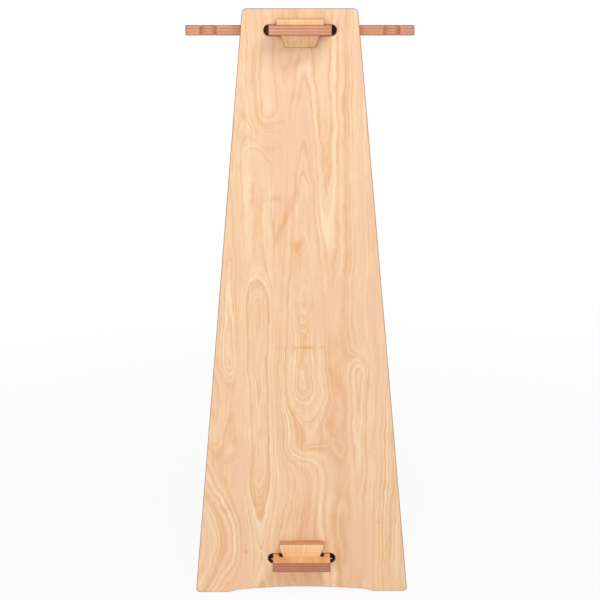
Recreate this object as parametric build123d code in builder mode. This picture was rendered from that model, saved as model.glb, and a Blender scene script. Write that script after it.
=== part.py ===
"""Knock-down standing table in birch plywood, held together by wedges alone.

Two tapered side panels stand on feet with a shallow arch between them. The table top and the
shelf each have a tenon at both ends. A tenon passes through a slot in the panel and stands out
of it, and a wedge dropped through the tenon pulls the board's shoulders against the panel.

X runs across the table, Y along it, Z up. The origin is on the floor, under the middle.
"""

from build123d import *

import os
from math import radians, tan

# Plywood and its edges
PLY = 18.0
EDGE_ROUND = 1.8
WEDGE_ROUND = 0.8

# Whole table
BOARD_LENGTH = 1200.0  # tenon tip to tenon tip
TENON_REACH = 45.0  # how far a tenon stands out of its panel
TOP_DEPTH = 400.0
SHELF_DEPTH = 300.0
TOP_SURFACE = 1050.0  # height of the table top above the floor
SHELF_SURFACE = 77.0

# Side panel
PANEL_HEIGHT = 1078.0
PANEL_TOP_WIDTH = 200.0
PANEL_FOOT_WIDTH = 400.0
PANEL_TOP_RADIUS = 9.0
PANEL_FOOT_RADIUS = 6.5
FOOT_INNER_X = 135.5  # where a foot's flat underside starts to rise
FOOT_STEP_WIDTH = 12.5
FOOT_STEP_HEIGHT = 4.2
FOOT_STEP_RADIUS = 30.0
ARCH_HEIGHT = 10.4

# Tenon and its slot
TENON_WIDTH = 107.0
TENON_CORNER_RADIUS = 2.5
SLOT_PLAY = 0.5  # slot height over the board's thickness
BOARD_CORNER_RADIUS = 6.0

# Half-round notches in the ends of the table top
NOTCH_RADIUS = 15.0
NOTCH_X = 160.0

# Wedge and its mortise
WEDGE_HEIGHT = 48.0
WEDGE_HEAD_WIDTH = 83.0
WEDGE_HEAD_HEIGHT = 7.5
WEDGE_FOOT_WIDTH = 52.0
WEDGE_TAPER = 7.0  # degrees, on the face turned away from the panel
MORTISE_WIDTH = 84.0
MORTISE_CORNER_RADIUS = 1.5
MORTISE_SETBACK = 4.0  # how far the mortise reaches back inside the panel
WEDGE_PLAY = 0.1
TOP_WEDGE_RISE = 10.0  # wedge head above the tenon it locks
SHELF_WEDGE_RISE = 26.0

SHOULDER_Y = BOARD_LENGTH / 2 - TENON_REACH - PLY
PANEL_FACE_Y = SHOULDER_Y + PLY
SLOT_HEIGHT = PLY + SLOT_PLAY
SLOT_LENGTH = TENON_WIDTH + SLOT_HEIGHT
SLOT_HEIGHTS = [surface - PLY / 2 for surface in (TOP_SURFACE, SHELF_SURFACE)]


def wedge_thickness(below_head):
    """Thickness of a wedge at a depth below its head."""
    return PLY - below_head * tan(radians(WEDGE_TAPER))


def mortise_outer_y(wedge_rise):
    """Distance of a mortise's outer wall from the middle of the table."""
    return PANEL_FACE_Y + wedge_thickness(wedge_rise) + 2 * WEDGE_PLAY


def face_edges(solid, axis):
    """Edges that outline the two broad faces of a flat piece, across the given axis."""
    faces = solid.faces().filter_by(axis).sort_by(axis)
    return faces[0].edges() + faces[-1].edges()


def side_panel(inner_y, label):
    """One tapered side panel, whose inner face is at inner_y."""
    outward = 1 if inner_y > 0 else -1
    half_foot = PANEL_FOOT_WIDTH / 2
    half_top = PANEL_TOP_WIDTH / 2
    step_top_x = FOOT_INNER_X - FOOT_STEP_WIDTH
    with BuildPart() as panel:
        with BuildSketch(Plane.XZ.offset(-inner_y)):
            with BuildLine():
                Polyline(
                    (-step_top_x, FOOT_STEP_HEIGHT),
                    (-FOOT_INNER_X, 0),
                    (-half_foot, 0),
                    (-half_top, PANEL_HEIGHT),
                    (half_top, PANEL_HEIGHT),
                    (half_foot, 0),
                    (FOOT_INNER_X, 0),
                    (step_top_x, FOOT_STEP_HEIGHT),
                )
                ThreePointArc(
                    (step_top_x, FOOT_STEP_HEIGHT),
                    (0, ARCH_HEIGHT),
                    (-step_top_x, FOOT_STEP_HEIGHT),
                )
            outline = make_face()
            corners = outline.vertices().group_by(Axis.Y)
            fillet(corners[-1], PANEL_TOP_RADIUS)
            feet = corners[0].sort_by(Axis.X)
            fillet([feet[0], feet[-1]], PANEL_FOOT_RADIUS)
            fillet([feet[1], feet[-2]] + list(corners[1]), FOOT_STEP_RADIUS)
            with Locations(*[(0, height) for height in SLOT_HEIGHTS]):
                SlotOverall(SLOT_LENGTH, SLOT_HEIGHT, mode=Mode.SUBTRACT)
        extrude(amount=-outward * PLY)
        fillet(face_edges(panel.part, Axis.Y), EDGE_ROUND)
    panel.part.label = label
    return panel.part


def cross_board(depth, surface, wedge_rise, notch_xs, label):
    """A board with a tenon at each end, mortised for its wedges."""
    mortise_inner = PANEL_FACE_Y - MORTISE_SETBACK
    mortise_outer = mortise_outer_y(wedge_rise)
    mortise_length = mortise_outer - mortise_inner
    ends = (-1, 1)
    with BuildPart() as board:
        with BuildSketch(Plane.XY.offset(surface - PLY)):
            RectangleRounded(depth, 2 * SHOULDER_Y, BOARD_CORNER_RADIUS)
            RectangleRounded(TENON_WIDTH, BOARD_LENGTH, TENON_CORNER_RADIUS)
            if notch_xs:
                with Locations(*[(x, end * SHOULDER_Y) for x in notch_xs for end in ends]):
                    Circle(NOTCH_RADIUS, mode=Mode.SUBTRACT)
        extrude(amount=PLY)
        fillet(face_edges(board.part, Axis.Z), EDGE_ROUND)
        with BuildSketch(Plane.XY.offset(surface - PLY)):
            with Locations(*[(0, end * (mortise_inner + mortise_length / 2)) for end in ends]):
                RectangleRounded(MORTISE_WIDTH, mortise_length, MORTISE_CORNER_RADIUS)
        extrude(amount=PLY, mode=Mode.SUBTRACT)
    board.part.label = label
    return board.part


def wedge(end, surface, wedge_rise, label):
    """A wedge against the outer face of the panel at one end, with its head above the tenon."""
    head_z = surface + wedge_rise
    foot_z = head_z - WEDGE_HEIGHT
    back_y = end * (PANEL_FACE_Y + WEDGE_PLAY)
    half_head = WEDGE_HEAD_WIDTH / 2
    half_foot = WEDGE_FOOT_WIDTH / 2
    with BuildPart() as key:
        with BuildSketch(Plane.XZ.offset(-back_y)):
            with BuildLine():
                Polyline(
                    (-half_head, head_z),
                    (half_head, head_z),
                    (half_head, head_z - WEDGE_HEAD_HEIGHT),
                    (half_foot, foot_z),
                    (-half_foot, foot_z),
                    (-half_head, head_z - WEDGE_HEAD_HEIGHT),
                    close=True,
                )
            make_face()
        extrude(amount=-end * PLY)
        with BuildSketch(Plane.YZ):
            with BuildLine():
                Polyline(
                    (back_y, head_z),
                    (back_y + end * PLY, head_z),
                    (back_y + end * wedge_thickness(WEDGE_HEIGHT), foot_z),
                    (back_y, foot_z),
                    close=True,
                )
            make_face()
        extrude(amount=half_head, both=True, mode=Mode.INTERSECT)
        fillet(key.edges(), WEDGE_ROUND)
    key.part.label = label
    return key.part


pieces = [
    side_panel(-SHOULDER_Y, "near_side_panel"),
    side_panel(SHOULDER_Y, "far_side_panel"),
    cross_board(TOP_DEPTH, TOP_SURFACE, TOP_WEDGE_RISE, (-NOTCH_X, NOTCH_X), "table_top"),
    cross_board(SHELF_DEPTH, SHELF_SURFACE, SHELF_WEDGE_RISE, (), "lower_shelf"),
    wedge(-1, TOP_SURFACE, TOP_WEDGE_RISE, "near_top_wedge"),
    wedge(1, TOP_SURFACE, TOP_WEDGE_RISE, "far_top_wedge"),
    wedge(-1, SHELF_SURFACE, SHELF_WEDGE_RISE, "near_shelf_wedge"),
    wedge(1, SHELF_SURFACE, SHELF_WEDGE_RISE, "far_shelf_wedge"),
]

os.makedirs("parts", exist_ok=True)
for piece in pieces:
    export_step(piece, f"parts/{piece.label}.step")
    print(piece.label, round(piece.volume), piece.bounding_box().size)
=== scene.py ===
"""Looks of a wedged plywood standing table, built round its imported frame.

The table is flat-pack furniture: two tapered side panels, a top, a shelf, and four wedges that
lock the through-tenons. Every piece is cut from seven-ply sheet with a pale rotary-cut face, and
its cut edges show the plies. Lengths are in metres, X across the table, Y along it, Z up.
"""

import logging
import math
from collections.abc import Sequence
from dataclasses import dataclass, replace
from enum import Enum
from typing import Any

import bmesh
import bpy
from mathutils import Euler, Matrix, Vector

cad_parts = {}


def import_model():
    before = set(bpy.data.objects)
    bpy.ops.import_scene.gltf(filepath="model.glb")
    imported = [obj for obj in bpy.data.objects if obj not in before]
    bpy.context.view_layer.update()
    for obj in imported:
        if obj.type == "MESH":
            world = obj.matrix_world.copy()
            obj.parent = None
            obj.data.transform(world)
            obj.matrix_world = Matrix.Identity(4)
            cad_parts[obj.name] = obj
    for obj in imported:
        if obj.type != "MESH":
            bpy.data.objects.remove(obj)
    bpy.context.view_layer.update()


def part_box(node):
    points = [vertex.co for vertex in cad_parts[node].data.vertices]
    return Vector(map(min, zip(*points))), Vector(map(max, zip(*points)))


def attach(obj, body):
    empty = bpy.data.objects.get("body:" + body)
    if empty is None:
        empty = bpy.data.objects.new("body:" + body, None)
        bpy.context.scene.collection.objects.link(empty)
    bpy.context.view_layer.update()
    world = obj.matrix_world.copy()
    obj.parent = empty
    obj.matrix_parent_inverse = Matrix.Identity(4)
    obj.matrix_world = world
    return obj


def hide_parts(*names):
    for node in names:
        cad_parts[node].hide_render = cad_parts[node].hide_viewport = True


log = logging.getLogger("standing_table")

MM = 0.001
SHEET_THICKNESS = 18 * MM
FRAME_BODY = "frame"
Socket = bpy.types.NodeSocket
Value = float | Sequence[float] | Socket
Tone = tuple[float, float, float, float]


# ---------------------------------------------------------------- node sheets


class NodeSheet:
    """Places and links the nodes of one node tree."""

    columns: int = 9
    column_width: int = 220
    row_height: int = 260

    def __init__(self, tree: bpy.types.NodeTree) -> None:
        """Starts on the node tree of a material, a world or a node group."""
        self.tree = tree
        self.count = 0

    def node(
        self, kind: str, inputs: dict[str | int, Value] | None = None, **settings: Any
    ) -> bpy.types.Node:
        """Adds one node.

        Args:
            kind: the node's type, such as ShaderNodeMath.
            inputs: value or source socket for each named or numbered input.
            **settings: properties of the node itself.

        Returns:
            The new node.
        """
        made = self.tree.nodes.new(kind)
        row, column = divmod(self.count, self.columns)
        made.location = (self.column_width * column, -self.row_height * row)
        self.count += 1
        for name, setting in settings.items():
            setattr(made, name, setting)
        for name, value in (inputs or {}).items():
            self.feed(made.inputs[name], value)
        return made

    def feed(self, target: Socket, value: Value) -> None:
        """Links a socket to an input, or writes a plain value on it.

        Args:
            target: the input.
            value: the source socket or the plain value.
        """
        if isinstance(value, bpy.types.NodeSocket):
            self.tree.links.new(value, target)
        else:
            target.default_value = value

    def math(self, operation: str, *values: Value) -> Socket:
        """A Math node's result, for one to three values."""
        return self.node("ShaderNodeMath", dict(enumerate(values)), operation=operation).outputs[0]

    def times(self, value: Value, factor: Value) -> Socket:
        """A value times a factor."""
        return self.math("MULTIPLY", value, factor)

    def times_plus(self, value: Value, factor: Value, more: Value) -> Socket:
        """A value times a factor, plus one more value."""
        return self.math("MULTIPLY_ADD", value, factor, more)

    def less(self, value: Value, taken: Value) -> Socket:
        """A value with another taken from it."""
        return self.math("SUBTRACT", value, taken)

    def vector(self, operation: str, *values: Value) -> bpy.types.Node:
        """A Vector Math node, for one to three vectors."""
        return self.node("ShaderNodeVectorMath", dict(enumerate(values)), operation=operation)

    def stretched(self, place: Value, scales: Value) -> Socket:
        """A place with its own scale along each axis."""
        return self.vector("MULTIPLY", place, scales).outputs[0]

    def axes(self, place: Value) -> Any:
        """The X, Y and Z of a place."""
        return self.node("ShaderNodeSeparateXYZ", {0: place}).outputs

    def smooth(self, value: Value, low: float, high: float) -> Socket:
        """A value eased from 0 at low to 1 at high."""
        inputs = {"Value": value, "From Min": low, "From Max": high}
        return self.node("ShaderNodeMapRange", inputs, interpolation_type="SMOOTHSTEP").outputs[0]

    def blend(self, factor: Value, first: Value, second: Value) -> Socket:
        """A colour between two colours, by a factor."""
        inputs = {0: factor, 6: first, 7: second}
        return self.node("ShaderNodeMix", inputs, data_type="RGBA").outputs[2]

    def between(self, factor: Value, first: Value, second: Value) -> Socket:
        """A number between two numbers, by a factor."""
        inputs = {0: factor, 2: first, 3: second}
        return self.node("ShaderNodeMix", inputs, data_type="FLOAT").outputs[0]

    def noise(
        self, place: Value, seed: Value, scale: float, detail: float = 2.0, rough: float = 0.5
    ) -> Socket:
        """Smooth noise between about 0 and 1 at a place, with its own seed."""
        inputs = {"Vector": place, "W": seed, "Scale": scale, "Detail": detail, "Roughness": rough}
        return self.node("ShaderNodeTexNoise", inputs, noise_dimensions="4D").outputs["Fac"]

    def line_noise(
        self, along: Value, scale: float, detail: float = 2.0, rough: float = 0.5
    ) -> Socket:
        """Smooth noise between about 0 and 1 along one number."""
        inputs = {"W": along, "Scale": scale, "Detail": detail, "Roughness": rough}
        return self.node("ShaderNodeTexNoise", inputs, noise_dimensions="1D").outputs["Fac"]


def linear(red: int, green: int, blue: int) -> Tone:
    """A screen colour as the linear colour that the shaders take, by the standard curve.

    Args:
        red: the red channel, 0 to 255.
        green: the green channel.
        blue: the blue channel.

    Returns:
        The three linear channels and a full alpha.
    """
    shares = [value / 255 for value in (red, green, blue)]
    dark, bright = 12.92, 1.055
    curve = [x / dark if x <= 0.04045 else ((x + bright - 1) / bright) ** 2.4 for x in shares]
    return (*curve, 1.0)


def new_group(
    name: str, inputs: dict[str, str], outputs: dict[str, str]
) -> tuple[NodeSheet, Any, Any]:
    """Starts a shader node group with named sockets.

    Args:
        name: the group's name.
        inputs: socket kind, such as NodeSocketFloat, for each input name.
        outputs: socket kind for each output name.

    Returns:
        The group's sheet, its input node's outputs and its output node's inputs.
    """
    tree = bpy.data.node_groups.new(name, "ShaderNodeTree")
    for way, sockets in (("INPUT", inputs), ("OUTPUT", outputs)):
        for socket, kind in sockets.items():
            tree.interface.new_socket(socket, in_out=way, socket_type=kind)
    sheet = NodeSheet(tree)
    return sheet, sheet.node("NodeGroupInput").outputs, sheet.node("NodeGroupOutput").inputs


NUMBER = "NodeSocketFloat"
VECTOR = "NodeSocketVector"


@dataclass(frozen=True)
class GrainScales:
    """Noise scale, in waves to the metre, of each kind of unevenness in the wood."""

    broad_warp: float = 11.0
    fine_warp: float = 52.0
    figure: float = 8.0
    ripple: float = 42.0
    ply_waver: float = 45.0
    wide_fibre: float = 260.0
    fine_fibre: float = 1400.0
    patch: float = 12.0
    cloud: float = 70.0
    blush: float = 17.0
    mottle: float = 180.0
    edge_stain: float = 30.0


GRAIN = GrainScales()


class WoodEffects:
    """The node groups that every plywood finish shares, each built once."""

    def __init__(self) -> None:
        """Builds the groups."""
        self.warp = self._warp()
        self.swell = self._swell()
        self.figure = self._figure()
        self.rings = self._rings()
        self.plies = self._plies()
        self.fibres = self._fibres()
        self.cut = self._cut()

    @staticmethod
    def _warp() -> bpy.types.NodeTree:
        """Moves a place about a little, so that what is drawn there has an uneven line.

        Returns:
            The group.
        """
        sheet, given, out = new_group(
            "grain_warp",
            {"Place": VECTOR, "Seed": NUMBER, "Broad": VECTOR, "Fine": VECTOR},
            {"Place": VECTOR},
        )
        place = given["Place"]
        for reach, scale in (("Broad", GRAIN.broad_warp), ("Fine", GRAIN.fine_warp)):
            inputs = {"Vector": given["Place"], "W": given["Seed"], "Scale": scale, "Detail": 3.0}
            cloud = sheet.node("ShaderNodeTexNoise", inputs, noise_dimensions="4D").outputs["Color"]
            shift = sheet.vector("SUBTRACT", cloud, (0.5, 0.5, 0.5)).outputs[0]
            place = sheet.vector("ADD", place, sheet.stretched(shift, given[reach])).outputs[0]
        sheet.feed(out["Place"], place)
        return sheet.tree

    @staticmethod
    def _swell() -> bpy.types.NodeTree:
        """A smooth hump that bends the rings into arches, with its own reach each way.

        Returns:
            The group.
        """
        sheet, given, out = new_group(
            "veneer_swell",
            {"Place": VECTOR, "Centre": VECTOR, "Reach": VECTOR, "Height": NUMBER},
            {"Lift": NUMBER},
        )
        away = sheet.vector("SUBTRACT", given["Place"], given["Centre"]).outputs[0]
        across, along, _ = sheet.axes(away)
        half_width, up, down = sheet.axes(given["Reach"])
        above = sheet.math("DIVIDE", along, up)
        below = sheet.math("DIVIDE", along, sheet.times(down, -1.0))
        length = sheet.math("MAXIMUM", above, below)
        width = sheet.math("DIVIDE", across, half_width)
        square = sheet.times_plus(length, length, sheet.times(width, width))
        fall = sheet.math("EXPONENT", sheet.times(square, -1.0))
        sheet.feed(out["Lift"], sheet.times(fall, given["Height"]))
        return sheet.tree

    @staticmethod
    def _figure() -> bpy.types.NodeTree:
        """Depth into the tree that the peeling knife reached, in rings, over a veneer sheet.

        Returns:
            The group.
        """
        sheet, given, out = new_group(
            "veneer_figure",
            {"Place": VECTOR, "Seed": NUMBER, "Slope": NUMBER, "Bow": NUMBER, "Wander": NUMBER},
            {"Depth": NUMBER},
        )
        long_place = sheet.stretched(given["Place"], (1.0, 0.16, 1.0))
        broad = sheet.noise(long_place, given["Seed"], GRAIN.figure, 1.0)
        ripple_place = sheet.stretched(given["Place"], (1.0, 0.6, 1.0))
        ripple = sheet.noise(ripple_place, given["Seed"], GRAIN.ripple)
        across = sheet.axes(given["Place"])[0]
        steepness = sheet.times_plus(across, given["Bow"], given["Slope"])
        ripple_rings = sheet.times(ripple, 0.7)
        waves = sheet.times_plus(broad, given["Wander"], ripple_rings)
        sheet.feed(out["Depth"], sheet.times_plus(across, steepness, waves))
        return sheet.tree

    @staticmethod
    def _rings() -> bpy.types.NodeTree:
        """Growth rings from a depth into the tree: a tone for each, and thin late-wood lines.

        Returns:
            The group.
        """
        sheet, given, out = new_group(
            "growth_rings",
            {"Depth": NUMBER, "Seed": NUMBER},
            {"Tone": NUMBER, "Line": NUMBER},
        )
        darkest = 0.92  # share of a ring at which its late-wood line is darkest
        depth = sheet.math("ADD", given["Depth"], given["Seed"])
        broad = sheet.line_noise(depth, 0.7, 1.0)
        narrow = sheet.line_noise(depth, 2.1, 2.0, 0.6)
        tone = sheet.between(0.5, broad, narrow)
        step = sheet.math("FRACT", sheet.times(depth, 1.3))
        rise = sheet.smooth(step, 0.5, darkest)
        fall = sheet.less(1.0, sheet.smooth(step, darkest, 1.0))
        strength = sheet.smooth(sheet.line_noise(depth, 1.9, 1.0), 0.42, 0.66)
        sheet.feed(out["Tone"], sheet.smooth(tone, 0.28, 0.72))
        sheet.feed(out["Line"], sheet.times(sheet.times(rise, fall), strength))
        return sheet.tree

    @staticmethod
    def _plies() -> bpy.types.NodeTree:
        """Which ply a depth in the sheet lies in, whether its grain is turned, and the glue lines.

        Returns:
            The group.
        """
        sheet, given, out = new_group(
            "ply_stack",
            {"Place": VECTOR, "Thickness": NUMBER, "Plies": NUMBER},
            {"Layer": NUMBER, "Turned": NUMBER, "Glue": NUMBER},
        )
        margin = 0.2  # the outermost share of a face ply, which never reads as another ply
        share = sheet.math("DIVIDE", sheet.axes(given["Place"])[2], given["Thickness"])
        waver = sheet.less(sheet.noise(given["Place"], 3.0, GRAIN.ply_waver), 0.5)
        inner = sheet.less(1.0, sheet.smooth(sheet.math("ABSOLUTE", share), 0.38, 0.44))
        level = sheet.times(sheet.math("ADD", share, 0.5), given["Plies"])
        level = sheet.times_plus(sheet.times(waver, 0.35), inner, level)
        level = sheet.math("MINIMUM", level, sheet.less(given["Plies"], margin))
        level = sheet.math("MAXIMUM", level, margin)
        layer = sheet.math("FLOOR", level)
        step = sheet.math("FRACT", level)
        edge = sheet.math("MINIMUM", step, sheet.less(1.0, step))
        sheet.feed(out["Layer"], layer)
        sheet.feed(out["Turned"], sheet.math("PINGPONG", layer, 1.0))
        sheet.feed(out["Glue"], sheet.less(1.0, sheet.smooth(edge, 0.02, 0.1)))
        return sheet.tree

    @staticmethod
    def _fibres() -> bpy.types.NodeTree:
        """Fine streaks along the grain, and the short dark pores between them.

        Returns:
            The group.
        """
        sheet, given, out = new_group(
            "wood_fibres",
            {"Place": VECTOR, "Turned": NUMBER, "Seed": NUMBER},
            {"Streak": NUMBER, "Pore": NUMBER},
        )
        stretch = 0.035  # streaks are this much finer across the grain than along it
        along_y = sheet.stretched(given["Place"], (1.0, stretch, 1.0))
        along_x = sheet.stretched(given["Place"], (stretch, 1.0, 1.0))
        inputs = {0: given["Turned"], 4: along_y, 5: along_x}
        place = sheet.node("ShaderNodeMix", inputs, data_type="VECTOR").outputs[1]
        wide = sheet.noise(place, given["Seed"], GRAIN.wide_fibre, 3.0, 0.6)
        fine = sheet.noise(place, given["Seed"], GRAIN.fine_fibre, 2.0, 0.6)
        sheet.feed(out["Streak"], sheet.between(0.5, wide, fine))
        sheet.feed(out["Pore"], sheet.smooth(fine, 0.66, 0.78))
        return sheet.tree

    @staticmethod
    def _cut() -> bpy.types.NodeTree:
        """How the surface cuts the sheet: along its face, or across the grain of the ply.

        Returns:
            The group.
        """
        sheet, given, out = new_group(
            "cut_direction",
            {"Normal": VECTOR, "Turned": NUMBER},
            {"Face": NUMBER, "End": NUMBER, "Arris Glue And Shade": NUMBER},
        )
        across, along, deep = sheet.axes(sheet.vector("ABSOLUTE", given["Normal"]).outputs[0])
        end = sheet.between(given["Turned"], along, across)
        outer = sheet.less(1.0, sheet.smooth(deep, 0.90, 0.995))
        sheet.feed(out["Face"], sheet.smooth(deep, 0.80, 0.985))
        # Where the edge rounds over; the finish darkens it there, partly as the glue line and
        # partly as painted shade.
        sheet.feed(out["Arris Glue And Shade"], sheet.times(outer, sheet.smooth(deep, 0.1, 0.45)))
        sheet.feed(out["End"], sheet.smooth(end, 0.35, 0.9))
        return sheet.tree


# ---------------------------------------------------------------- finishes


class Lay(Enum):
    """How a piece's sheet lies: the turn, in degrees, that brings its face grain to Y."""

    UPRIGHT = -90.0
    FLAT = 0.0
    NEAR_WEDGE = -97.0
    FAR_WEDGE = -83.0


@dataclass(frozen=True)
class Swell:
    """One tongue or arch of a veneer's figure, in millimetres across and along the grain.

    A tongue has its short reach below its centre and opens upwards; an arch is the other way up
    and has a negative number of rings.
    """

    across: float
    along: float
    half_width: float
    up: float
    down: float
    rings: float


@dataclass(frozen=True)
class Mark:
    """A brown mark in the veneer, in millimetres: a pin knot, a scar, a gum streak, and in places a
    patch of painted shade.
    """

    across: float
    along: float
    half_width: float
    half_length: float
    strength: float = 1.0
    lean: float = 0.0


@dataclass(frozen=True)
class Ink:
    """The tones of the plywood."""

    face_pale: Tone = linear(249, 220, 182)
    face_mid: Tone = linear(242, 203, 161)
    face_brown: Tone = linear(230, 179, 129)
    face_line: Tone = linear(217, 160, 114)
    face_blush: Tone = linear(240, 196, 162)
    mark: Tone = linear(222, 152, 88)
    ply_long: Tone = linear(214, 158, 126)
    ply_end: Tone = linear(194, 134, 104)
    glue: Tone = linear(150, 96, 70)
    # Tone of the rounded arris: the glue line that the rounding cuts into, with painted shade on
    # the edge that turns away from the lamps.
    arris_glue_and_shade: Tone = linear(150, 96, 68)


PANEL_INK = Ink()
TOP_INK = Ink(
    face_pale=linear(249, 208, 162),
    face_mid=linear(243, 194, 146),
    face_brown=linear(232, 174, 122),
    ply_long=linear(212, 154, 117),
    ply_end=linear(192, 130, 96),
)
SHELF_INK = Ink(
    face_pale=linear(251, 205, 148),
    face_mid=linear(247, 192, 132),
    face_brown=linear(238, 174, 112),
    face_blush=linear(240, 178, 124),
    ply_long=linear(188, 124, 94),
    ply_end=linear(172, 106, 80),
    glue=linear(132, 80, 58),
)
WEDGE_INK = Ink(
    face_pale=linear(252, 220, 176),
    face_mid=linear(247, 208, 160),
    face_brown=linear(239, 192, 138),
    face_line=linear(232, 178, 124),
    face_blush=linear(250, 206, 156),
    ply_long=linear(226, 160, 112),
    ply_end=linear(212, 144, 100),
    glue=linear(168, 106, 70),
    # Darker arris tone: painted shade that outlines the wedge against the panel.
    arris_glue_and_shade=linear(112, 66, 42),
)
# Painted shade: dark ply tones for faces deep in the slots and mortises, and for the stretch of
# board shoulder seen through a slot.
PAINTED_SHADE_INK = Ink(ply_long=linear(96, 52, 34), ply_end=linear(84, 44, 28), glue=linear(60, 30, 20))


@dataclass(frozen=True)
class PlywoodFinish:
    """Clear-finished plywood: a figured pale face, and cut edges that show the plies."""

    name: str
    lay: Lay
    centre: Vector
    seed: float
    effects: WoodEffects
    swells: tuple[Swell, ...] = ()
    marks: tuple[Mark, ...] = ()
    slope: float = 42.0
    bow: float = 260.0
    wander: float = 4.0
    broad_warp: tuple[float, float, float] = (16 * MM, 44 * MM, 0)
    fine_warp: tuple[float, float, float] = (5 * MM, 13 * MM, 0)
    mark_warp: tuple[float, float, float] = (9 * MM, 9 * MM, 0)
    plies: int = 7
    ply_seed_step: float = 3.7
    ink: Ink = PANEL_INK
    arris_glue_and_shade: float = 0.75
    long_roughness: float = 0.42
    end_roughness: float = 0.62
    bump: float = 0.35
    bump_depth: float = 0.05 * MM
    coat: float = 0.12
    coat_roughness: float = 0.35

    def material(self) -> bpy.types.Material:
        """Makes the material.

        Returns:
            The finished material, for one piece.
        """
        made = bpy.data.materials.new(self.name)
        made.use_nodes = True
        made.node_tree.nodes.clear()
        sheet = NodeSheet(made.node_tree)
        place, normal = self._coordinates(sheet)
        given = {"Place": place, "Thickness": SHEET_THICKNESS, "Plies": float(self.plies)}
        plies = self._effect(sheet, self.effects.plies, given)
        cut = self._effect(sheet, self.effects.cut, {"Normal": normal, "Turned": plies["Turned"]})
        seed = sheet.times_plus(plies["Layer"], self.ply_seed_step, self.seed)
        given = {"Place": place, "Turned": plies["Turned"], "Seed": seed}
        fibres = self._effect(sheet, self.effects.fibres, given)
        face = self._face_colour(sheet, place, seed, fibres)
        edge = self._edge_colour(sheet, place, plies, cut, fibres)
        colour = sheet.blend(cut["Face"], edge, face)
        # The rounded arris is blended towards its dark tone: partly the glue line there, partly
        # painted shade.
        colour = sheet.blend(sheet.times(cut["Arris Glue And Shade"], self.arris_glue_and_shade), colour, self.ink.arris_glue_and_shade)
        rough = sheet.between(cut["End"], self.long_roughness, self.end_roughness)
        inputs = {
            "Base Color": colour,
            "Roughness": sheet.times_plus(fibres["Streak"], 0.12, rough),
            "Normal": self._relief(sheet, plies, cut, fibres),
            "Coat Weight": self.coat,
            "Coat Roughness": self.coat_roughness,
        }
        shader = sheet.node("ShaderNodeBsdfPrincipled", inputs)
        sheet.node("ShaderNodeOutputMaterial", {"Surface": shader.outputs[0]})
        return made

    @staticmethod
    def _effect(sheet: NodeSheet, tree: bpy.types.NodeTree, given: dict[str, Value]) -> Any:
        """Places a shared effect in the material.

        Args:
            sheet: the material's sheet.
            tree: the effect's node group.
            given: this material's own values for it.

        Returns:
            The group node's outputs.
        """
        made = sheet.node("ShaderNodeGroup", node_tree=tree)
        for name, value in given.items():
            sheet.feed(made.inputs[name], value)
        return made.outputs

    def _coordinates(self, sheet: NodeSheet) -> tuple[Socket, Socket]:
        """Turns the piece's own coordinates to those of its sheet.

        Args:
            sheet: the material's sheet.

        Returns:
            The place, with X across the grain, Y along it and Z through the sheet from its
            middle, and the normal turned the same way.
        """
        turn = Euler((math.radians(self.lay.value), 0, 0))
        shift = -(turn.to_matrix() @ self.centre)
        source = sheet.node("ShaderNodeTexCoord").outputs
        given = {"Vector": source["Object"], "Rotation": turn, "Location": shift}
        place = sheet.node("ShaderNodeMapping", given, vector_type="POINT")
        given = {"Vector": source["Normal"], "Rotation": turn}
        normal = sheet.node("ShaderNodeMapping", given, vector_type="VECTOR")
        return place.outputs[0], normal.outputs[0]

    def _relief(self, sheet: NodeSheet, plies: Any, cut: Any, fibres: Any) -> Socket:
        """Raised streaks, sunken pores, and glue lines that stand back in a cut edge.

        Args:
            sheet: the material's sheet.
            plies: outputs of the ply stack.
            cut: outputs of the cut direction.
            fibres: outputs of the fibres.

        Returns:
            The bumped normal.
        """
        height = sheet.times_plus(fibres["Streak"], 0.5, sheet.times(fibres["Pore"], -0.6))
        seam = sheet.times(plies["Glue"], sheet.less(1.0, cut["Face"]))
        height = sheet.less(height, sheet.times(seam, 1.2))
        given = {"Height": height, "Strength": self.bump, "Distance": self.bump_depth}
        return sheet.node("ShaderNodeBump", given).outputs[0]

    def _face_colour(self, sheet: NodeSheet, place: Socket, seed: Socket, fibres: Any) -> Socket:
        """Colour of the pale face veneer, with its ring figure, fibres, blush and brown marks, some
        of them painted shade.

        Args:
            sheet: the material's sheet.
            place: the place on the piece's sheet.
            seed: the seed of the ply.
            fibres: outputs of the fibres.

        Returns:
            The colour.
        """
        ink = self.ink
        drawn = self._warped(sheet, place, seed, self.broad_warp, self.fine_warp)
        rings = self._ring_figure(sheet, drawn, seed)
        patch_place = sheet.stretched(drawn, (1.0, 0.45, 1.0))
        patch = sheet.noise(patch_place, seed, GRAIN.patch, 3.0)
        calm = sheet.times(sheet.smooth(patch, 0.6, 0.35), 0.5)
        tone = sheet.between(calm, rings["Tone"], 0.5)
        cloud = sheet.noise(patch_place, self.seed, GRAIN.cloud, 4.0, 0.6)
        for cover, share in ((fibres["Streak"], 0.9), (cloud, 0.8)):
            tone = sheet.times_plus(sheet.less(cover, 0.5), share, tone)
        colour = sheet.blend(sheet.smooth(tone, 0.0, 0.55), ink.face_brown, ink.face_mid)
        colour = sheet.blend(sheet.smooth(tone, 0.5, 1.0), colour, ink.face_pale)
        blush = sheet.noise(patch_place, sheet.math("ADD", seed, 5.0), GRAIN.blush, 3.0)
        colour = sheet.blend(sheet.smooth(blush, 0.42, 0.75), colour, ink.face_blush)
        line_share = sheet.times_plus(sheet.smooth(patch, 0.3, 0.6), 0.45, 0.15)
        colour = sheet.blend(sheet.times(rings["Line"], line_share), colour, ink.face_line)
        colour = sheet.blend(sheet.times(fibres["Pore"], 0.25), colour, ink.face_line)
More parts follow.
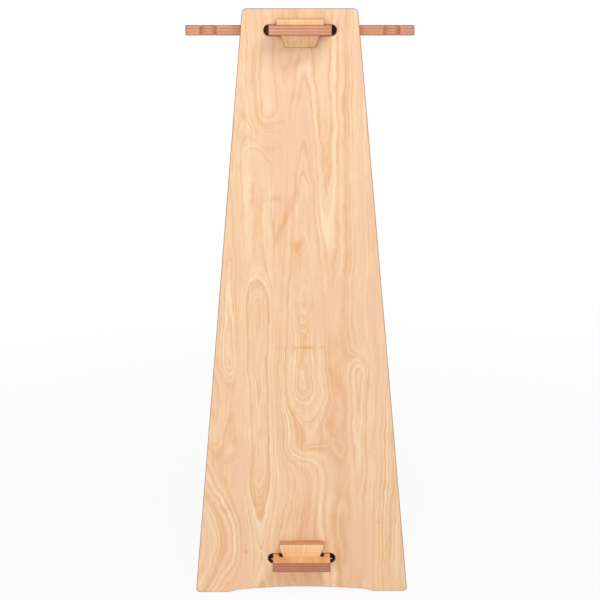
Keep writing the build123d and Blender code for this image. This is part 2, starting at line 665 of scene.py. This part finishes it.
        # Brown marks, some of which are painted shade.
        for mark in self.marks:
            colour = sheet.blend(self._stain_and_shade(sheet, place, mark), colour, ink.mark)
        return self._scaled(sheet, colour, sheet.times_plus(fibres["Streak"], 0.16, 0.92))

    def _ring_figure(self, sheet: NodeSheet, place: Socket, seed: Socket) -> Any:
        """The rings that the veneer's own swells bend.

        Args:
            sheet: the material's sheet.
            place: the warped place on the piece's sheet.
            seed: the seed of the ply.

        Returns:
            The outputs of the growth rings.
        """
        given = {
            "Place": place,
            "Seed": seed,
            "Slope": self.slope,
            "Bow": self.bow,
            "Wander": self.wander,
        }
        depth = self._effect(sheet, self.effects.figure, given)["Depth"]
        for swell in self.swells:
            centre = (swell.across * MM, swell.along * MM, 0)
            reach = (swell.half_width * MM, swell.up * MM, swell.down * MM)
            depth = sheet.math("ADD", depth, self._lift(sheet, place, centre, reach, swell.rings))
        return self._effect(sheet, self.effects.rings, {"Depth": depth, "Seed": self.seed})

    def _warped(
        self, sheet: NodeSheet, place: Socket, seed: Value, broad: Value, fine: Value
    ) -> Socket:
        """The place, moved about by up to half of each reach."""
        given = {"Place": place, "Seed": seed, "Broad": broad, "Fine": fine}
        return self._effect(sheet, self.effects.warp, given)["Place"]

    def _lift(
        self, sheet: NodeSheet, place: Socket, centre: Value, reach: Value, height: float
    ) -> Socket:
        """How much a smooth hump adds at a place."""
        given = {"Place": place, "Centre": centre, "Reach": reach, "Height": height}
        return self._effect(sheet, self.effects.swell, given)["Lift"]

    def _stain_and_shade(self, sheet: NodeSheet, place: Socket, mark: Mark) -> Socket:
        """How strongly a brown mark shows, painted shade included.

        Args:
            sheet: the material's sheet.
            place: the place on the piece's sheet.
            mark: the mark.

        Returns:
            Its strength at the place.
        """
        ragged = self._warped(sheet, place, self.seed, (0, 0, 0), self.mark_warp)
        turn = Euler((0, 0, math.radians(mark.lean)))
        centre = Vector((mark.across, mark.along, 0)) * MM
        given = {"Vector": ragged, "Rotation": turn, "Location": -(turn.to_matrix() @ centre)}
        local = sheet.node("ShaderNodeMapping", given, vector_type="POINT").outputs[0]
        reach = (mark.half_width * MM, mark.half_length * MM, mark.half_length * MM)
        lift = self._lift(sheet, local, (0, 0, 0), reach, mark.strength)
        mottle_place = sheet.stretched(place, (1.0, 0.3, 1.0))
        mottle = sheet.noise(mottle_place, self.seed, GRAIN.mottle, 3.0, 0.65)
        return sheet.times(lift, sheet.times_plus(sheet.smooth(mottle, 0.35, 0.65), 0.6, 0.4))

    @staticmethod
    def _scaled(sheet: NodeSheet, colour: Socket, share: Value) -> Socket:
        """A colour made lighter or darker by a share."""
        given = {0: colour, "Scale": share}
        return sheet.node("ShaderNodeVectorMath", given, operation="SCALE").outputs[0]

    def _edge_colour(
        self, sheet: NodeSheet, place: Socket, plies: Any, cut: Any, fibres: Any
    ) -> Socket:
        """Colour of a cut edge: end grain and long grain by turns, with faint glue lines.

        Args:
            sheet: the material's sheet.
            place: the place on the piece's sheet.
            plies: outputs of the ply stack.
            cut: outputs of the cut direction.
            fibres: outputs of the fibres.

        Returns:
            The colour.
        """
        colour = sheet.blend(cut["End"], self.ink.ply_long, self.ink.ply_end)
        stain = sheet.noise(place, self.seed, GRAIN.edge_stain, 3.0)
        given = {"W": plies["Layer"]}
        layer_tone = sheet.node("ShaderNodeTexWhiteNoise", given, noise_dimensions="1D").outputs[0]
        share = sheet.times_plus(stain, 0.6, 0.68)
        share = sheet.times_plus(layer_tone, 0.1, share)
        share = sheet.times_plus(sheet.less(fibres["Streak"], 0.5), 0.5, share)
        seam = sheet.times(plies["Glue"], sheet.times_plus(stain, 0.6, 0.05))
        return sheet.blend(seam, self._scaled(sheet, colour, share), self.ink.glue)


# ---------------------------------------------------------------- flat sheet pieces


class Outline:
    """A pen that draws closed loops of edges on the plane Z = 0 of a bmesh."""

    def __init__(self, mesh: bmesh.types.BMesh) -> None:
        """Starts with nothing drawn on a bmesh."""
        self.mesh = mesh
        self.first = self.last = None

    def move(self, x: float, y: float) -> "Outline":
        """Puts the pen down at the start of a new loop."""
        self.first = self.last = bmesh.ops.create_vert(self.mesh, co=(x, y, 0))["vert"][0]
        return self

    def close(self) -> "Outline":
        """Draws a straight line back to the start of the loop."""
        return self.line(*self.first.co.xy)

    def line(self, x: float, y: float) -> "Outline":
        """Draws a straight line.

        Args:
            x: where the line ends, across.
            y: where it ends, up.

        Returns:
            The pen.
        """
        grown = bmesh.ops.extrude_vert_indiv(self.mesh, verts=[self.last])["verts"][0]
        bmesh.ops.translate(self.mesh, verts=[grown], vec=Vector((x, y, 0)) - grown.co)
        self.last = grown
        return self

    def arc(self, x: float, y: float, degrees: float, steps: int) -> "Outline":
        """Draws an arc round a centre.

        Args:
            x: the centre, across.
            y: the centre, up.
            degrees: the turn, anticlockwise where it is positive.
            steps: edges in the arc.

        Returns:
            The pen.
        """
        spun = bmesh.ops.spin(
            self.mesh,
            geom=[self.last],
            cent=(x, y, 0),
            axis=(0, 0, 1),
            angle=math.radians(degrees),
            steps=steps,
        )
        self.last = next(part for part in spun["geom_last"] if isinstance(part, bmesh.types.BMVert))
        return self

    def corner(
        self, point: Vector, before: Vector, after: Vector, radius: float, steps: int
    ) -> "Outline":
        """Draws to a corner and round it, with tangent lines before and after.

        Args:
            point: the sharp corner.
            before: the corner before it.
            after: the corner after it.
            radius: radius of the rounding.
            steps: edges in the arc.

        Returns:
            The pen, at the end of the arc.
        """
        into = (point - before).normalized()
        out = (after - point).normalized()
        turn = math.atan2(into.x * out.y - into.y * out.x, into.dot(out))
        start = point - into * radius * math.tan(abs(turn) / 2)
        centre = start + Vector((-into.y, into.x)) * math.copysign(radius, turn)
        if self.last is None:
            self.move(*start)
        else:
            self.line(*start)
        return self.arc(centre.x, centre.y, math.degrees(turn), steps)


@dataclass
class SheetCutter:
    """Turns outlines into a flat piece with rounded edges, centred on the plane Z = 0."""

    thickness: float = SHEET_THICKNESS
    edge_round: float = 1.8 * MM
    round_steps: int = 4
    hold: float = 0.3 * MM
    weld: float = 0.001 * MM

    def solid(self, mesh: bmesh.types.BMesh, plug: Sequence[bmesh.types.BMEdge] = ()) -> None:
        """Makes the piece from the loops of edges in the mesh.

        Args:
            mesh: holds the loops, drawn on Z = 0.
            plug: edges of the loops that are cut square through, after the edges are rounded.
        """
        bmesh.ops.triangle_fill(mesh, use_beauty=True, edges=mesh.edges[:], normal=(0, 0, 1))
        for face in mesh.faces:
            if face.normal.z < 0:
                face.normal_flip()
        half = self.thickness / 2
        square = half - self.edge_round
        plugs = bmesh.ops.holes_fill(mesh, edges=plug, sides=0)["faces"] if plug else []
        bmesh.ops.translate(mesh, verts=mesh.verts[:], vec=(0, 0, square))
        region = mesh.faces[:]
        for step in range(self.round_steps):
            start, end = (math.radians(90 * (step + i) / self.round_steps) for i in (0, 1))
            width = self.edge_round * (math.cos(start) - math.cos(end))
            self._inset(mesh, region, width, self.edge_round * (math.sin(end) - math.sin(start)))
        self._inset(mesh, region, self.hold, 0.0)
        bmesh.ops.delete(mesh, geom=plugs, context="FACES")
        open_edges = [edge for edge in mesh.edges if edge.is_boundary]
        rim = [edge for edge in open_edges if edge.verts[0].co.z < square + self.weld]
        deep = [edge for edge in open_edges if edge.verts[0].co.z > half - self.weld]
        for drop in (self.hold, square - self.hold):
            rim = self._drop(mesh, rim, drop)
        if deep:
            self._drop(mesh, deep, half)
        whole = mesh.verts[:] + mesh.edges[:] + mesh.faces[:]
        bmesh.ops.mirror(mesh, geom=whole, axis="Z", merge_dist=self.weld)
        bmesh.ops.remove_doubles(mesh, verts=mesh.verts[:], dist=self.weld)
        bmesh.ops.recalc_face_normals(mesh, faces=mesh.faces[:])

    @staticmethod
    def _inset(
        mesh: bmesh.types.BMesh, region: list[bmesh.types.BMFace], width: float, rise: float
    ) -> None:
        """Draws a region's outline inwards and lifts the region, leaving a sloping border.

        Args:
            mesh: holds the region.
            region: its faces.
            width: width of the border.
            rise: how far the region goes up.
        """
        bmesh.ops.inset_region(
            mesh,
            faces=region,
            use_boundary=True,
            use_even_offset=True,
            thickness=width,
            depth=rise,
        )

    @staticmethod
    def _drop(
        mesh: bmesh.types.BMesh, rim: list[bmesh.types.BMEdge], depth: float
    ) -> list[bmesh.types.BMEdge]:
        """Extends a rim straight down.

        Args:
            mesh: holds the rim.
            rim: its edges.
            depth: how far down it goes.

        Returns:
            The new rim.
        """
        grown = bmesh.ops.extrude_edge_only(mesh, edges=rim)["geom"]
        verts = [part for part in grown if isinstance(part, bmesh.types.BMVert)]
        bmesh.ops.translate(mesh, verts=verts, vec=(0, 0, -depth))
        return [part for part in grown if isinstance(part, bmesh.types.BMEdge) and part.is_boundary]


SHARP_ANGLE = math.radians(40)
OUTLINE_WELD = 0.01 * MM


def finished_object(name: str, mesh: bmesh.types.BMesh, place: Matrix) -> bpy.types.Object:
    """Moves a bmesh into place and makes it an object at the origin, smooth but for its corners.

    Args:
        name: the object's name.
        mesh: the finished bmesh, freed here.
        place: where it goes in the table.

    Returns:
        The new object, linked to the scene.
    """
    bmesh.ops.transform(mesh, matrix=place, verts=mesh.verts[:])
    for face in mesh.faces:
        face.smooth = True
    for edge in mesh.edges:
        edge.smooth = len(edge.link_faces) == 2 and edge.calc_face_angle() < SHARP_ANGLE
    data = bpy.data.meshes.new(name)
    mesh.to_mesh(data)
    mesh.free()
    made = bpy.data.objects.new(name, data)
    bpy.context.scene.collection.objects.link(made)
    return made


# ---------------------------------------------------------------- the table's pieces


@dataclass
class Piece:
    """One separate piece of the table, which stands for one node of the frame."""

    node: str
    body: str
    effects: WoodEffects

    def __post_init__(self) -> None:
        """Looks up the node's lowest and highest corners, once."""
        self.low, self.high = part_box(self.node)

    @property
    def end(self) -> int:
        """Which end of the table the piece is at: -1 near, 1 far."""
        return -1 if self.low.y + self.high.y < 0 else 1

    def is_wall(self, middle: Vector) -> bool:
        """Whether a face with this middle lies deep in a slot or a mortise, where shade is painted
        on.
        """
        return False

    def finished(
        self,
        mesh: bmesh.types.BMesh,
        place: Matrix,
        slot: str,
        lay: Lay,
        centre: Vector,
        **look: Any,
    ) -> bpy.types.Object:
        """Makes the piece's object, gives it its materials and ties it to the frame.

        Args:
            mesh: the finished bmesh.
            place: where it goes in the table.
            slot: the material slot's name; not used.
            lay: how the piece's sheet lies.
            centre: a point in the middle of the sheet's thickness, where its figure is centred.
            **look: the finish's own values, such as its seed and ink.

        Returns:
            The new object.
        """
        name = self.node + "_birch"
        made = finished_object(name, mesh, place)
        finish = PlywoodFinish(name=name, lay=lay, centre=centre, effects=self.effects, **look)
        made.data.materials.append(finish.material())
        # Faces deep in a slot or a mortise get a dark copy of the finish: painted shade.
        shaded_faces = [face for face in made.data.polygons if self.is_wall(face.center)]
        if shaded_faces:
            dark = replace(finish, name=name + "_wall", ink=PAINTED_SHADE_INK, swells=(), marks=())
            made.data.materials.append(dark.material())
        for face in shaded_faces:
            face.material_index = 1
        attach(made, self.body)
        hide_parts(self.node)
        log.info("%s: %d faces on %s", made.name, len(made.data.polygons), self.body)
        return made


BOARDS = ("table_top", "lower_shelf")
WALL_SLACK = 0.05 * MM
NEAR_SWELLS = (
    Swell(across=-56, along=905, half_width=36, up=2000, down=50, rings=4.5),
    Swell(across=4, along=575, half_width=26, up=560, down=66, rings=5.5),
    Swell(across=2, along=402, half_width=34, up=240, down=46, rings=4.5),
    Swell(across=-79, along=545, half_width=30, up=58, down=900, rings=-5.5),
    Swell(across=-131, along=452, half_width=20, up=500, down=38, rings=3.5),
    Swell(across=112, along=425, half_width=25, up=46, down=700, rings=-5.0),
    Swell(across=-117, along=280, half_width=30, up=300, down=34, rings=3.5),
    Swell(across=-2, along=300, half_width=50, up=400, down=40, rings=4.5),
    Swell(across=-270, along=100, half_width=190, up=130, down=110, rings=8.0),
)
BOARD_SWELLS = (
    Swell(across=-95, along=-400, half_width=34, up=300, down=60, rings=5.0),
    Swell(across=70, along=-250, half_width=36, up=60, down=300, rings=-5.0),
    Swell(across=-30, along=-60, half_width=30, up=280, down=70, rings=5.0),
    Swell(across=125, along=90, half_width=28, up=250, down=60, rings=4.0),
    Swell(across=-110, along=210, half_width=38, up=60, down=280, rings=-5.0),
    Swell(across=25, along=330, half_width=32, up=300, down=66, rings=5.0),
)
NEAR_MARKS = (
    Mark(across=4, along=477, half_width=32, half_length=3.0, strength=0.75),
    Mark(across=2, along=470, half_width=26, half_length=9, strength=0.25),
    Mark(across=-26, along=715, half_width=6, half_length=46, strength=0.75, lean=22),
    Mark(across=-4, along=655, half_width=7, half_length=38, strength=0.55, lean=12),
    Mark(across=-48, along=700, half_width=4, half_length=40, strength=0.35, lean=-14),
    Mark(across=-44, along=748, half_width=14, half_length=7, strength=0.55),
    Mark(across=-8, along=664, half_width=8, half_length=9, strength=0.65),
    Mark(across=-50, along=838, half_width=13, half_length=6, strength=0.55),
    Mark(across=-10, along=985, half_width=26, half_length=9, strength=0.5, lean=-25),
    Mark(across=-12, along=930, half_width=13, half_length=8, strength=0.5),
    Mark(across=-141, along=165, half_width=6, half_length=5, strength=0.5),
    Mark(across=-105, along=82, half_width=3, half_length=3, strength=0.9),
    Mark(across=143, along=140, half_width=5, half_length=5, strength=0.45),
    Mark(across=8, along=140, half_width=30, half_length=40, strength=0.25),
    # Broad faint darkening over the middle of the panel: partly the brown of its marks, partly
    # painted shade that takes down the key lamp's bright spot.
    Mark(across=10, along=600, half_width=120, half_length=170, strength=0.1),
)
# Painted shadow: the shade that the top tenon casts on the near top wedge, below the tenon.
TENON_SHADOW_MARKS = (Mark(across=0, along=-43, half_width=70, half_length=14, strength=0.6),)


def mirrored(swells: tuple[Swell, ...], rise: float) -> tuple[Swell, ...]:
    """The figure of the next sheet off the log: like the last one, mirrored and moved along."""
    return tuple(replace(swell, across=-swell.across, along=swell.along + rise) for swell in swells)


@dataclass
class SidePanel(Piece):
    """A tapered side panel with two slots, standing on two feet with an arch between them."""

    seed: float = 1.0
    swells: tuple[Swell, ...] = ()
    marks: tuple[Mark, ...] = ()
    top_width: float = 200 * MM
    top_radius: float = 9 * MM
    foot_radius: float = 6.5 * MM
    foot_inner: float = 135.5 * MM
    step_width: float = 12.5 * MM
    step_height: float = 4.2 * MM
    step_radius: float = 30 * MM
    arch_height: float = 10.4 * MM
    slot_length: float = 125.5 * MM
    slot_height: float = 18.5 * MM
    arch_steps: int = 24
    rise_steps: int = 6
    corner_steps: int = 8
    slot_steps: int = 16

    def __post_init__(self) -> None:
        """Looks up the corners, and the height of each board that passes through the panel."""
        super().__post_init__()
        self.slot_levels = [sum(corner.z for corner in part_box(board)) / 2 for board in BOARDS]

    def build(self) -> bpy.types.Object:
        """Cuts and dresses the panel.

        Returns:
            Its object.
        """
        mesh = bmesh.new()
        self._draw_sides(Outline(mesh))
        for level in self.slot_levels:
            self._draw_slot(Outline(mesh), level)
        bmesh.ops.remove_doubles(mesh, verts=mesh.verts[:], dist=OUTLINE_WELD)
        SheetCutter().solid(mesh)
        centre = Vector((0, (self.low.y + self.high.y) / 2, 0))
        upright = Matrix.Translation(centre) @ Matrix.Rotation(math.radians(90), 4, "X")
        look = {"seed": self.seed, "swells": self.swells, "marks": self.marks}
        return self.finished(mesh, upright, "panel_birch", Lay.UPRIGHT, centre, **look)

    def is_wall(self, middle: Vector) -> bool:
        """Whether a face is inside one of the slots, where shade is painted on.

        Args:
            middle: the face's middle.

        Returns:
            Whether it is.
        """
        reach = self.slot_height / 2 + WALL_SLACK
        beside = any(abs(middle.z - level) < reach for level in self.slot_levels)
        return beside and abs(middle.x) <= self.slot_length / 2 + WALL_SLACK

    def _draw_sides(self, pen: Outline) -> None:
        """Draws the outer outline, from the left end of the arch round over the top.

        Args:
            pen: a fresh pen.
        """
        rise = Vector((self.foot_inner - self.step_width, self.step_height))
        crown = self.arch_height - rise.y
        radius = (rise.x**2 + crown**2) / (2 * crown)
        centre = self.arch_height - radius
        lean = math.asin(rise.x / radius)
        bend = math.atan2(self.step_height, self.step_width) - lean
        start = lean - self.step_radius * math.tan(bend / 2) / radius
        pen.move(-radius * math.sin(start), centre + radius * math.cos(start))
        pen.arc(0, centre, -math.degrees(2 * start), self.arch_steps)
        places = [
            rise + Vector((-math.cos(lean), math.sin(lean))),
            rise,
            Vector((self.foot_inner, 0)),
            Vector((self.high.x, 0)),
            Vector((self.top_width / 2, self.high.z)),
        ]
        places += [Vector((-place.x, place.y)) for place in reversed(places)]
        turns = [
            (self.step_radius, self.rise_steps),
            (self.step_radius, self.corner_steps),
            (self.foot_radius, self.corner_steps),
            (self.top_radius, self.corner_steps),
        ]
        for index, (turn, steps) in enumerate(turns + turns[::-1], start=1):
            pen.corner(places[index], places[index - 1], places[index + 1], turn, steps)
        pen.close()

    def _draw_slot(self, pen: Outline, height: float) -> None:
        """Draws a slot with fully round ends.

        Args:
            pen: a fresh pen.
            height: the slot's middle above the floor.
        """
        radius = self.slot_height / 2
        reach = self.slot_length / 2 - radius
        pen.move(-reach, height - radius).line(reach, height - radius)
        pen.arc(reach, height, 180, self.slot_steps)
        pen.line(-reach, height + radius)
        pen.arc(-reach, height, 180, self.slot_steps)


@dataclass
class CrossBoard(Piece):
    """A board with a tenon at each end, cut through for a wedge."""

    seed: float = 2.0
    ink: Ink = TOP_INK
    notch_x: float = 0.0
    shoulder: float = 537 * MM
    tenon_width: float = 107 * MM
    tenon_radius: float = 2.5 * MM
    corner_radius: float = 6 * MM
    bare_shoulder: float = 64 * MM
    edge_round: float = 1.8 * MM
    notch_radius: float = 15 * MM
    mortise_width: float = 84 * MM
    mortise_radius: float = 1.5 * MM
    mortise_setback: float = 4 * MM
    mortise_margin: float = 12 * MM
    wedge_play: float = 0.1 * MM
    wedge_taper: float = 7.0
    wedge_rise: float = 10 * MM
    corner_steps: int = 8
    tenon_steps: int = 5
    notch_steps: int = 24
    mortise_steps: int = 4

    def build(self) -> bpy.types.Object:
        """Cuts and dresses the board.

        Returns:
            Its object.
        """
        mesh = bmesh.new()
        self._draw_plan(Outline(mesh))
        outer = set(mesh.edges)
        for end in (-1, 1):
            self._draw_mortise(Outline(mesh), end)
        bmesh.ops.remove_doubles(mesh, verts=mesh.verts[:], dist=OUTLINE_WELD)
        SheetCutter().solid(mesh, plug=[edge for edge in mesh.edges if edge not in outer])
        centre = Vector((0, 0, (self.low.z + self.high.z) / 2))
        look = {"seed": self.seed, "swells": BOARD_SWELLS, "ink": self.ink}
        level = Matrix.Translation(centre)
        return self.finished(mesh, level, "board_birch", Lay.FLAT, centre, **look)

    def is_wall(self, middle: Vector) -> bool:
        """Whether a face is inside a mortise, or in the stretch of shoulder that a slot uncovers,
        where shade is painted on.

        Args:
            middle: the face's middle.

        Returns:
            Whether it is.
        """
        x, y = abs(middle.x), abs(middle.y)
        bare = self.tenon_width / 2 - WALL_SLACK < x < self.bare_shoulder
        bare = bare and abs(y - self.shoulder) < self.edge_round
        mortise = x < self.mortise_width / 2 + WALL_SLACK
        mortise = mortise and self.shoulder < y < self.high.y - self.mortise_margin
        from_face = min(self.high.z - middle.z, middle.z - self.low.z)
        return from_face >= WALL_SLACK and (bare or mortise)

    def _draw_plan(self, pen: Outline) -> None:
        """Draws the board's outline seen from above, one end and then the other.

        Args:
            pen: a fresh pen.
        """
        half, tip, tenon = self.high.x, self.high.y, self.tenon_width / 2
        pen.move(half, 0)
        for side in (1, -1):
            middle, edge, root, tip_right, tip_left, far_root, far_edge, far_middle = (
                Vector(corner) * side
                for corner in (
                    (half, 0),
                    (half, self.shoulder),
                    (tenon, self.shoulder),
                    (tenon, tip),
                    (-tenon, tip),
                    (-tenon, self.shoulder),
                    (-half, self.shoulder),
                    (-half, 0),
                )
            )
            bare = self.bare_shoulder * side
            pen.corner(edge, middle, root, self.corner_radius, self.corner_steps)
            self._draw_notch(pen, self.notch_x, side)
            pen.line(bare, root.y).line(*root)
            pen.corner(tip_right, root, tip_left, self.tenon_radius, self.tenon_steps)
            pen.corner(tip_left, tip_right, far_root, self.tenon_radius, self.tenon_steps)
            pen.line(*far_root).line(-bare, root.y)
            self._draw_notch(pen, -self.notch_x, side)
            pen.corner(far_edge, far_root, far_middle, self.corner_radius, self.corner_steps)
            pen.line(*far_middle)

    def _draw_notch(self, pen: Outline, x: float, side: int) -> None:
        """Draws a half-round notch in the end of the board, if the board has them.

        Args:
            pen: the pen that draws the plan.
            x: the notch's middle, as if at the far end.
            side: 1 at the far end of the board, -1 at the near end.
        """
        if self.notch_x:
            pen.line((x + self.notch_radius) * side, self.shoulder * side)
            pen.arc(x * side, self.shoulder * side, -180, self.notch_steps)

    def _draw_mortise(self, pen: Outline, end: int) -> None:
        """Draws the hole that the wedge drops through.

        Args:
            pen: a fresh pen.
            end: -1 at the near end, 1 at the far end.
        """
        face = self.shoulder + SHEET_THICKNESS
        near = (face - self.mortise_setback) * end
        thick = SHEET_THICKNESS - self.wedge_rise * math.tan(math.radians(self.wedge_taper))
        far = (face + thick + 2 * self.wedge_play) * end
        half = self.mortise_width / 2
        corners = [Vector(xy) for xy in ((-half, near), (half, near), (half, far), (-half, far))]
        for index, point in enumerate(corners):
            after = corners[(index + 1) % len(corners)]
            before = corners[index - 1]
            pen.corner(point, before, after, self.mortise_radius, self.mortise_steps)
        pen.close()


@dataclass
class Wedge(Piece):
    """A wedge: a straight head, tapered sides, and an outer face that leans to the panel."""

    seed: float = 3.0
    marks: tuple[Mark, ...] = ()
    head_height: float = 7.5 * MM
    foot_width: float = 52 * MM
    taper: float = 7.0
    edge_round: float = 0.8 * MM
    round_steps: int = 3

    def build(self) -> bpy.types.Object:
        """Cuts and dresses the wedge.

        Returns:
            Its object.
        """
        lean = math.radians(self.taper)
        outer = Vector((0, self._back() + self.end * SHEET_THICKNESS, self.high.z))
        normal = Vector((0, self.end * math.cos(lean), -math.sin(lean)))
        centre = outer - normal * SHEET_THICKNESS / 2
        lay = Lay.NEAR_WEDGE if self.end < 0 else Lay.FAR_WEDGE
        figure = {"slope": 90.0, "wander": 3.0}
        look = {"seed": self.seed, "marks": self.marks, "ink": WEDGE_INK, **figure}
        return self.finished(self._cut(), Matrix.Identity(4), "wedge_birch", lay, centre, **look)

    def _back(self) -> float:
        """Where the wedge's flat back is, along the table."""
        return self.high.y if self.end < 0 else self.low.y

    def _cut(self) -> bmesh.types.BMesh:
        """Cuts the wedge and breaks its edges.

        Returns:
            Its bmesh, in place.
        """
        mesh = bmesh.new()
        head, foot = self.high.x, self.foot_width / 2
        top, bottom = self.high.z, self.low.z
        shoulder = top - self.head_height
        outline = [
            (head, top),
            (-head, top),
            (-head, shoulder),
            (-foot, bottom),
            (foot, bottom),
            (head, shoulder),
        ]
        verts = [mesh.verts.new((x, self._back(), z)) for x, z in outline]
        bmesh.ops.contextual_create(mesh, geom=verts)
        grown = bmesh.ops.extrude_face_region(mesh, geom=mesh.faces[:])["geom"]
        for part in grown:
            if isinstance(part, bmesh.types.BMVert):
                lean = (top - part.co.z) * math.tan(math.radians(self.taper))
                shift = (0, self.end * (SHEET_THICKNESS - lean), 0)
                bmesh.ops.translate(mesh, verts=[part], vec=shift)
        bmesh.ops.recalc_face_normals(mesh, faces=mesh.faces[:])
        bmesh.ops.bevel(
            mesh,
            geom=mesh.edges[:],
            offset=self.edge_round,
            offset_type="OFFSET",
            segments=self.round_steps,
            profile=0.5,
            affect="EDGES",
            material=-1,
        )
        return mesh


# ---------------------------------------------------------------- the studio


@dataclass(frozen=True)
class Softbox:
    """A square lamp, aimed at a point."""

    name: str
    place: tuple[float, float, float]
    aim: tuple[float, float, float]
    size: float
    power: float

    def build(self) -> None:
        """Hangs the lamp."""
        data = bpy.data.lights.new(self.name, "AREA")
        data.shape = "SQUARE"
        data.size = self.size
        data.energy = self.power
        lamp = bpy.data.objects.new(self.name, data)
        bpy.context.scene.collection.objects.link(lamp)
        lamp.location = self.place
        towards = Vector(self.aim) - Vector(self.place)
        lamp.rotation_euler = towards.to_track_quat("-Z", "Y").to_euler()


SOFTBOXES = (
    Softbox("key_softbox", (1.0, -3.3, 3.5), (0, -0.5, 0.5), size=2.0, power=75),
    Softbox("fill_softbox", (-1.2, -4.0, 0.9), (0, -0.4, 0.2), size=2.0, power=40),
    Softbox("back_softbox", (-1.2, 4.2, 2.4), (0, 0.4, 0.6), size=2.2, power=80),
    Softbox("side_softbox", (4.2, 1.4, 2.2), (0, 0, 0.6), size=2.0, power=20),
)
WHITE = (1.0, 1.0, 1.0, 1.0)


@dataclass
class Studio:
    """A white room with soft lamps, and the camera at the near end of the table."""

    floor_radius: float = 9.0
    floor_sides: int = 96
    floor_tone: Tone = (0.86, 0.86, 0.86, 1.0)
    near_white: float = 0.92  # how much plain white covers the floor under the table
    fade_from: float = 0.7
    fade_to: float = 2.4
    surround: float = 0.32  # strength of the light from all round
    panel_face: float = -555 * MM
    distance: float = 2283.2 * MM
    eye_height: float = 1050.6 * MM
    tilt: float = 12.012
    swing: float = 0.8
    shift: float = -0.0309
    lens: float = 77.67
    clip_end: float = 40.0

    def build(self) -> None:
        """Builds the floor, the surround, the lamps and the camera."""
        self._floor()
        self._surround()
        for softbox in SOFTBOXES:
            softbox.build()
        self._camera()
        bpy.context.scene.view_settings.view_transform = "Standard"

    @staticmethod
    def _looked_at(sheet: NodeSheet) -> Socket:
        """1 where something is looked at, straight or through glass or in a reflection, else 0.

        Args:
            sheet: the sheet of the floor's material or of the world.

        Returns:
            The mask.
        """
        path = sheet.node("ShaderNodeLightPath").outputs
        seen = sheet.math("MAXIMUM", path["Is Camera Ray"], path["Is Glossy Ray"])
        return sheet.math("MAXIMUM", seen, path["Is Transmission Ray"])

    def _floor(self) -> None:
        """A pale floor that keeps the table's shadow and fades into the white of the room."""
        mesh = bmesh.new()
        bmesh.ops.create_circle(
            mesh, cap_ends=True, segments=self.floor_sides, radius=self.floor_radius
        )
        made = finished_object("floor", mesh, Matrix.Identity(4))
        material = bpy.data.materials.new("floor_white")
        material.use_nodes = True
        material.node_tree.nodes.clear()
        sheet = NodeSheet(material.node_tree)
        place = sheet.node("ShaderNodeTexCoord").outputs["Object"]
        away = sheet.vector("LENGTH", place).outputs["Value"]
        far = sheet.smooth(away, self.fade_from, self.fade_to)
        veil = sheet.times_plus(far, 1.0 - self.near_white, self.near_white)
        matt = sheet.node("ShaderNodeBsdfDiffuse", {"Color": self.floor_tone})
        white = sheet.node("ShaderNodeEmission", {"Color": WHITE, "Strength": 1.0})
        cover = sheet.times(veil, self._looked_at(sheet))
        inputs = {0: cover, 1: matt.outputs[0], 2: white.outputs[0]}
        mixed = sheet.node("ShaderNodeMixShader", inputs)
        sheet.node("ShaderNodeOutputMaterial", {"Surface": mixed.outputs[0]})
        made.data.materials.append(material)

    def _surround(self) -> None:
        """A dim white surround for the light, and plain white where it is looked at."""
        world = bpy.data.worlds.new("white_room")
        bpy.context.scene.world = world
        world.use_nodes = True
        world.node_tree.nodes.clear()
        sheet = NodeSheet(world.node_tree)
        strength = sheet.between(self._looked_at(sheet), self.surround, 1.0)
        shade = sheet.node("ShaderNodeBackground", {"Color": WHITE, "Strength": strength})
        sheet.node("ShaderNodeOutputWorld", {"Surface": shade.outputs[0]})

    def _camera(self) -> None:
        """The camera, at the near end of the table, turned a little to the right."""
        data = bpy.data.cameras.new("camera")
        data.lens = self.lens
        data.shift_x = self.shift
        data.clip_end = self.clip_end
        camera = bpy.data.objects.new("camera", data)
        bpy.context.scene.collection.objects.link(camera)
        camera.location = (0, self.panel_face - self.distance, self.eye_height)
        camera.rotation_euler = (math.radians(90 - self.tilt), 0, math.radians(-self.swing))
        bpy.context.scene.camera = camera


# ---------------------------------------------------------------- assembly


@dataclass
class StandingTable:
    """The whole table: its frame of panels and boards, and the wedges that lock it."""

    effects: WoodEffects

    def pieces(self) -> list[Piece]:
        """Lists the pieces in the order of assembly.

        Returns:
            Both panels, both boards and the four wedges.
        """
        shared = {"body": FRAME_BODY, "effects": self.effects}
        near = {"seed": 1.0, "swells": NEAR_SWELLS, "marks": NEAR_MARKS}
        far = {"seed": 17.0, "swells": mirrored(NEAR_SWELLS, rise=60)}
        top = {"seed": 31.0, "notch_x": 160 * MM, "wedge_rise": 10 * MM}
        shelf = {"seed": 47.0, "ink": SHELF_INK, "wedge_rise": 26 * MM}
        parts: list[Piece] = [
            SidePanel(node="near_side_panel", **near, **shared),
            SidePanel(node="far_side_panel", **far, **shared),
            CrossBoard(node="table_top", **top, **shared),
            CrossBoard(node="lower_shelf", **shelf, **shared),
        ]
        wedges = (
            ("near_top_wedge", 60.0, TENON_SHADOW_MARKS),
            ("far_top_wedge", 69.0, ()),
            ("near_shelf_wedge", 78.0, ()),
            ("far_shelf_wedge", 87.0, ()),
        )
        for name, seed, marks in wedges:
            parts.append(Wedge(name, name, self.effects, seed=seed, marks=marks))
        return parts

    def build(self) -> list[bpy.types.Object]:
        """The objects of every piece."""
        return [piece.build() for piece in self.pieces()]


def main() -> None:
    """Builds the table and the studio."""
    logging.basicConfig(level=logging.INFO, format="%(message)s")
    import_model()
    StandingTable(WoodEffects()).build()
    Studio().build()


if __name__ == "__main__":
    main()
